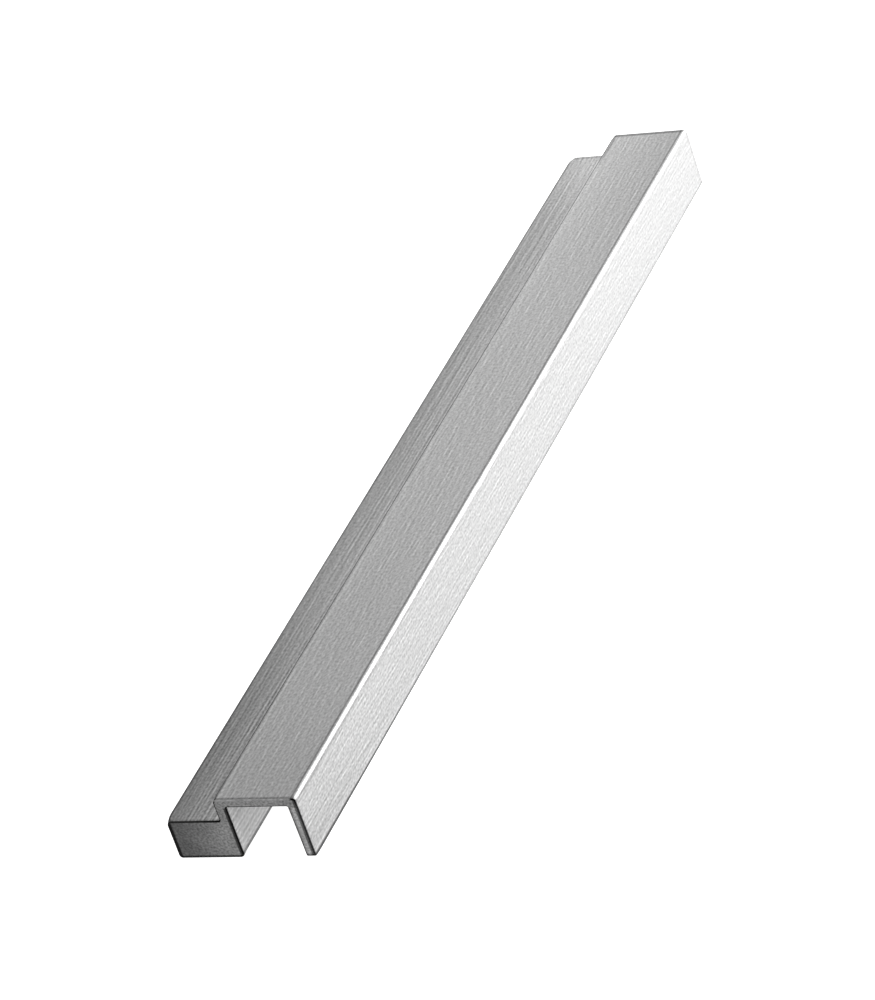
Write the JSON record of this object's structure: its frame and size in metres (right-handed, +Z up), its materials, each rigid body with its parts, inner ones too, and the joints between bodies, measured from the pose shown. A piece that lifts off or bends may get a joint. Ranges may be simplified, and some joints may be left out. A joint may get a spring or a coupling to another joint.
{
  "type": "furniture handle",
  "caption": "Straight brushed metal finger-pull handle: an inverted channel on a solid mounting bar, screwed on from behind a drawer or door front.",
  "frame": {"origin": "centre of the bounding box on the underside, so the mounting bar and the flange's lower lip stand on Z = 0", "axes": "+X along the handle, +Y out of the mounting face on the bar's back, -Y out of the flange's front face, +Z up out of the top plate"},
  "size_m": [0.242, 0.03, 0.014],
  "materials": {
    "brushed_aluminium": "brushed along its length, satin anodised, with plain sawn and deburred ends"
  },
  "bodies": {
    "root": {"handle_profile": "brushed_aluminium"}
  },
  "joints": []
}
